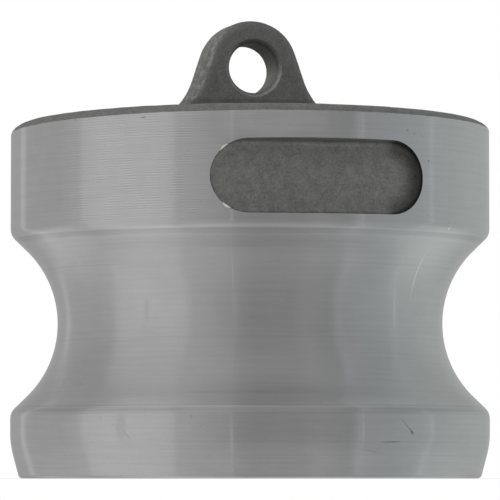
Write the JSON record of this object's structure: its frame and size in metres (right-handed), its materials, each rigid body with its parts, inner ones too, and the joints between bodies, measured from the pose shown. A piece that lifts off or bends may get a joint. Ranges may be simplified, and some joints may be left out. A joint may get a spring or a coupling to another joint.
{
  "type": "camlock dust plug",
  "caption": "Cast and turned aluminium dust plug for a cam and groove coupler: closed hollow body with a cam groove, tapered nose, marking recess and tether lug.",
  "frame": {"origin": "centre of the nose face, which the plug stands on", "axes": "+Z along the turned axis, from the nose to the tether lug; -Y out through the marking recess, square to the lug's cheeks"},
  "size_m": [0.0534, 0.0534, 0.051],
  "materials": {
    "turned_cast_aluminium": "satin turned outside, dull grey as cast on the head, lug, recess and hollow"
  },
  "bodies": {
    "root": {"dust_plug": "turned_cast_aluminium"}
  },
  "joints": []
}
